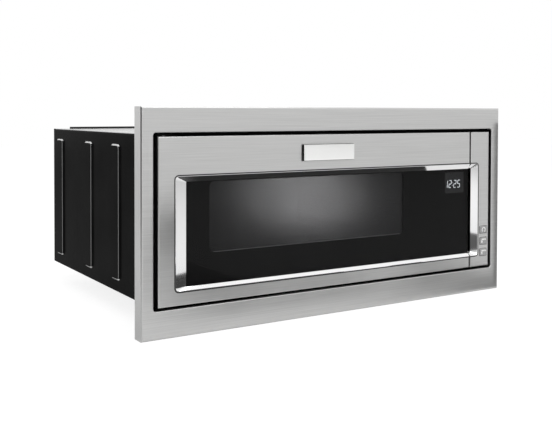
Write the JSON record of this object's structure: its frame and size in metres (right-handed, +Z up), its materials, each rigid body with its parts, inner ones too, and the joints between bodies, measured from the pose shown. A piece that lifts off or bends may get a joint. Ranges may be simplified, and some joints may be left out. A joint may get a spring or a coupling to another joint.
{
  "type": "built-in microwave",
  "caption": "Built-in microwave with a wide steel trim frame, a left-hinged glass door with a chrome bezel, a control column with a finger pocket, and a black ribbed case.",
  "frame": {"origin": "centre of the four cabinet screw holes, on the cabinet's face", "axes": "+X to the right seen from the front, +Y into the cabinet, +Z up"},
  "size_m": [0.757, 0.5215, 0.356],
  "materials": {
    "stainless": "brushed",
    "chrome": "polished",
    "black_glass": "polished",
    "clear_glass": "polished",
    "black_paint": "satin",
    "galvanised": "galvanised",
    "cavity_enamel": "satin enamel",
    "screen_steel": "black enamel",
    "black_plastic": "matte",
    "grey_plastic": "matte",
    "white_plastic": "matte",
    "key_plastic": "satin",
    "display": "gloss",
    "circuit_board": "satin",
    "mica": "satin",
    "copper": "enamelled",
    "aluminium": "plain",
    "steel": "zinc plated",
    "rubber": "matte"
  },
  "bodies": {
    "chassis": {"trim_frame": "stainless", "column_skin": "stainless", "finger_pocket": "chrome", "lamp_bulb": "clear_glass", "case_wrapper": "black_paint", "back_panel": "black_paint", "hinge_plates": "black_paint", "front_plate": "black_paint", "trim_clips": "galvanised", "base_plate": "galvanised", "waveguide": "galvanised", "magnetron_case": "galvanised", "capacitor_clamp": "galvanised", "fan_shroud": "galvanised", "oven_cavity": "cavity_enamel", "column_carrier": "black_plastic", "interlock_switches": "black_plastic", "hv_diode": "black_plastic", "lamp_holder": "grey_plastic", "exhaust_duct": "grey_plastic", "latch_board": "white_plastic", "key_board": "circuit_board", "control_board": "circuit_board", "filter_board": "circuit_board", "mica_cover": "mica", "transformer_windings": "copper", "magnetron_anode": "aluminium", "capacitor": "aluminium", "transformer_core": "steel", "fan_motor": "steel", "turntable_motor": "steel", "hinge_pins": "steel", "chassis_screws": "steel", "thermal_cutouts": "aluminium", "cord_gland": "rubber"},
    "door": {"door_frame": "stainless", "door_bezel": "chrome", "door_glass": "black_glass", "door_carrier": "black_plastic", "display_module": "display", "badge_plate": "chrome", "door_choke": "screen_steel", "choke_cover": "black_plastic", "inner_pane": "clear_glass", "latch_housing": "black_plastic", "latch_spring": "steel", "door_bushes": "white_plastic"},
    "latch": {"latch_key": "white_plastic"},
    "key_low": {"key_1": "key_plastic"},
    "key_middle": {"key_2": "key_plastic"},
    "key_high": {"key_3": "key_plastic"},
    "turntable": {"glass_tray": "clear_glass", "turntable_coupler": "white_plastic", "drive_shaft": "steel"},
    "roller_ring": {"roller_ring": "white_plastic"},
    "roller_a": {"roller_1": "white_plastic"},
    "roller_b": {"roller_2": "white_plastic"},
    "roller_c": {"roller_3": "white_plastic"},
    "fan": {"fan_blade": "white_plastic", "fan_shaft": "steel"}
  },
  "joints": [
    {"name": "door_hinge", "type": "hinge", "parent": "chassis", "child": "door", "pos_m": [-0.3392, -0.0165, 0], "axis": [0, 0, -1], "range_deg": [0, 110]},
    {"name": "latch_slide", "type": "slide", "parent": "door", "child": "latch", "axis": [0, 0, 1], "range_m": [0, 0.005], "stiffness_N_per_m": 300, "springref_m": -0.004, "deforming": ["latch_spring"]},
    {"name": "key_low_press", "type": "slide", "parent": "chassis", "child": "key_low", "axis": [0, 1, 0], "range_m": [0, 0.001], "stiffness_N_per_m": 800, "springref_m": -0.0005},
    {"name": "key_middle_press", "type": "slide", "parent": "chassis", "child": "key_middle", "axis": [0, 1, 0], "range_m": [0, 0.001], "stiffness_N_per_m": 800, "springref_m": -0.0005},
    {"name": "key_high_press", "type": "slide", "parent": "chassis", "child": "key_high", "axis": [0, 1, 0], "range_m": [0, 0.001], "stiffness_N_per_m": 800, "springref_m": -0.0005},
    {"name": "turntable_spin", "type": "hinge", "parent": "chassis", "child": "turntable", "pos_m": [-0.07, 0.19, 0], "axis": [0, 0, 1], "continuous": true},
    {"name": "ring_spin", "type": "hinge", "parent": "chassis", "child": "roller_ring", "pos_m": [-0.07, 0.19, 0], "axis": [0, 0, 1], "continuous": true},
    {"name": "roller_a_spin", "type": "hinge", "parent": "roller_ring", "child": "roller_a", "pos_m": [-0.07, 0.2925, -0.0838], "axis": [0, 1, 0], "continuous": true},
    {"name": "roller_b_spin", "type": "hinge", "parent": "roller_ring", "child": "roller_b", "pos_m": [-0.15877, 0.13875, -0.0838], "axis": [-0.866, -0.5, 0], "continuous": true},
    {"name": "roller_c_spin", "type": "hinge", "parent": "roller_ring", "child": "roller_c", "pos_m": [0.01877, 0.13875, -0.0838], "axis": [0.866, -0.5, 0], "continuous": true},
    {"name": "fan_spin", "type": "hinge", "parent": "chassis", "child": "fan", "pos_m": [0.2555, 0.395, 0.00045], "axis": [0, 1, 0], "continuous": true}
  ],
  "couplings": [
    {"joint": "ring_spin", "follows": "turntable_spin", "ratio": 0.5},
    {"joint": "roller_a_spin", "follows": "turntable_spin", "ratio": -6.4062},
    {"joint": "roller_b_spin", "follows": "turntable_spin", "ratio": -6.4062},
    {"joint": "roller_c_spin", "follows": "turntable_spin", "ratio": -6.4062}
  ]
}
